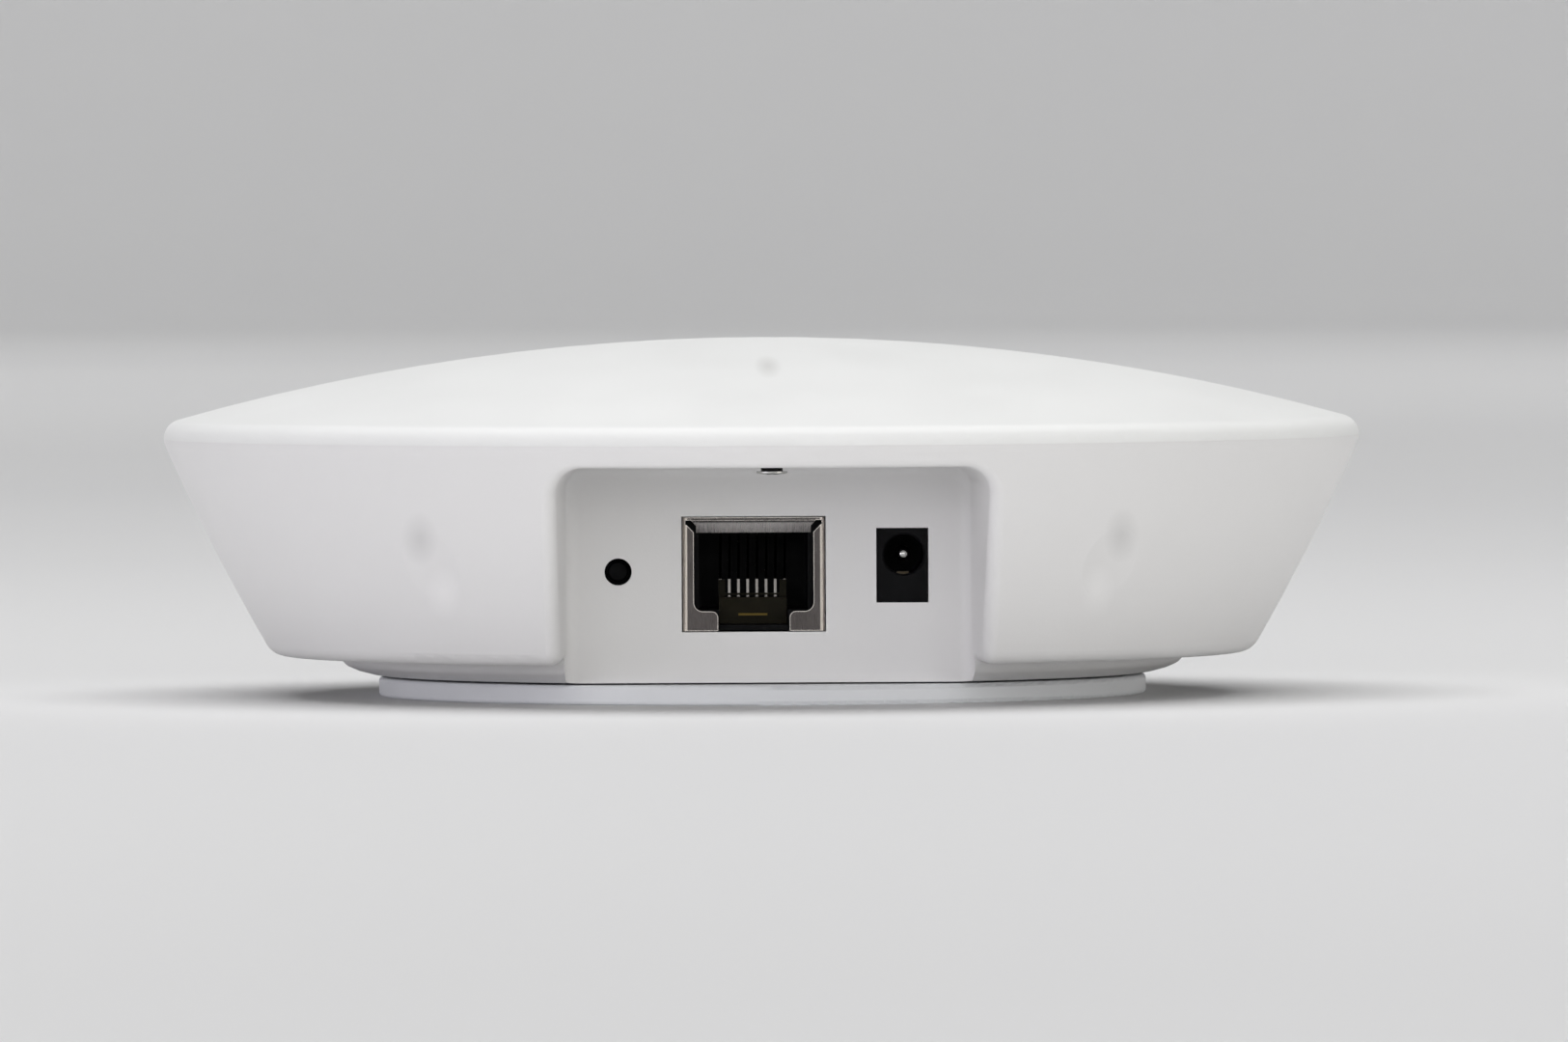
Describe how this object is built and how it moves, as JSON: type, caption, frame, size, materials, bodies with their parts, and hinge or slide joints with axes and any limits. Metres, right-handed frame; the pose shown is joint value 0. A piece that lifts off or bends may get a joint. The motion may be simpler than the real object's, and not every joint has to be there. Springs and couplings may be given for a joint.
{
  "type": "ceiling wireless access point",
  "caption": "Round white ceiling wireless access point with a shallow domed cover, tapered side, recessed network and power ports, and a twist-lock mount plate",
  "frame": {"origin": "centre of the mount plate's flat ceiling face, on the axis of the round body", "axes": "+Z from the ceiling face out into the room, through the crown of the dome; -Y points out of the port bay; +X completes the right-handed set"},
  "size_m": [0.134, 0.134, 0.04],
  "materials": {
    "bracket_white": "moulded, fine satin",
    "housing_white": "moulded, semi-gloss",
    "cover_white": "moulded, semi-gloss",
    "board_green": "solder mask on glass-epoxy laminate",
    "screw_steel": "zinc plated",
    "jack_nickel": "nickel-plated sheet",
    "black_plastic": "moulded black",
    "comb_amber": "dark amber nylon",
    "contact_gold": "gold flash over phosphor bronze",
    "pin_nickel": "polished nickel",
    "contact_brass": "spring brass",
    "can_tin": "tin-plated sheet",
    "chip_epoxy": "moulding compound",
    "pad_silicone": "soft filled silicone",
    "sink_aluminium": "extruded, bare",
    "ferrite": "sintered, dull",
    "bobbin_plastic": "natural nylon",
    "can_aluminium": "drawn can",
    "cable_grey": "extruded jacket",
    "led_lens": "clear lens",
    "clear_guide": "polished acrylic"
  },
  "bodies": {
    "bracket": {"mount_plate": "bracket_white"},
    "access_point": {"bottom_housing": "housing_white", "top_cover": "cover_white", "main_board": "board_green", "board_screws": "screw_steel", "cover_lock_screw": "screw_steel", "rj45_shield": "jack_nickel", "rj45_housing": "black_plastic", "rj45_comb": "comb_amber", "rj45_contacts": "contact_gold", "dc_jack_body": "black_plastic", "dc_jack_pin": "pin_nickel", "dc_jack_spring": "contact_brass", "reset_switch_body": "black_plastic", "reset_switch_bracket": "can_tin", "reset_contact_dome": "contact_brass", "rf_shield_frame": "can_tin", "rf_shield_lid": "can_tin", "soc_chip": "chip_epoxy", "memory_chips": "chip_epoxy", "thermal_pad": "pad_silicone", "heat_sink": "sink_aluminium", "ethernet_transformer": "chip_epoxy", "transformer_leads": "can_tin", "poe_core": "ferrite", "poe_winding": "bobbin_plastic", "electrolytic_caps": "can_aluminium", "power_inductors": "ferrite", "antenna_carrier_left": "bobbin_plastic", "antenna_carrier_right": "bobbin_plastic", "antenna_left": "can_tin", "antenna_right": "can_tin", "antenna_cable_left": "cable_grey", "antenna_cable_right": "cable_grey", "coax_plugs": "contact_gold", "status_led": "led_lens", "light_pipe": "clear_guide"},
    "reset_plunger": {"reset_button": "black_plastic"}
  },
  "joints": [
    {"name": "twist_lock", "type": "hinge", "parent": "bracket", "child": "access_point", "pos_m": [0, 0, 0], "axis": [0, 0, 1], "range_deg": [0, 18]},
    {"name": "reset_press", "type": "slide", "parent": "access_point", "child": "reset_plunger", "axis": [0, 1, 0], "range_m": [0, 0.00025], "stiffness_N_per_m": 2000}
  ]
}
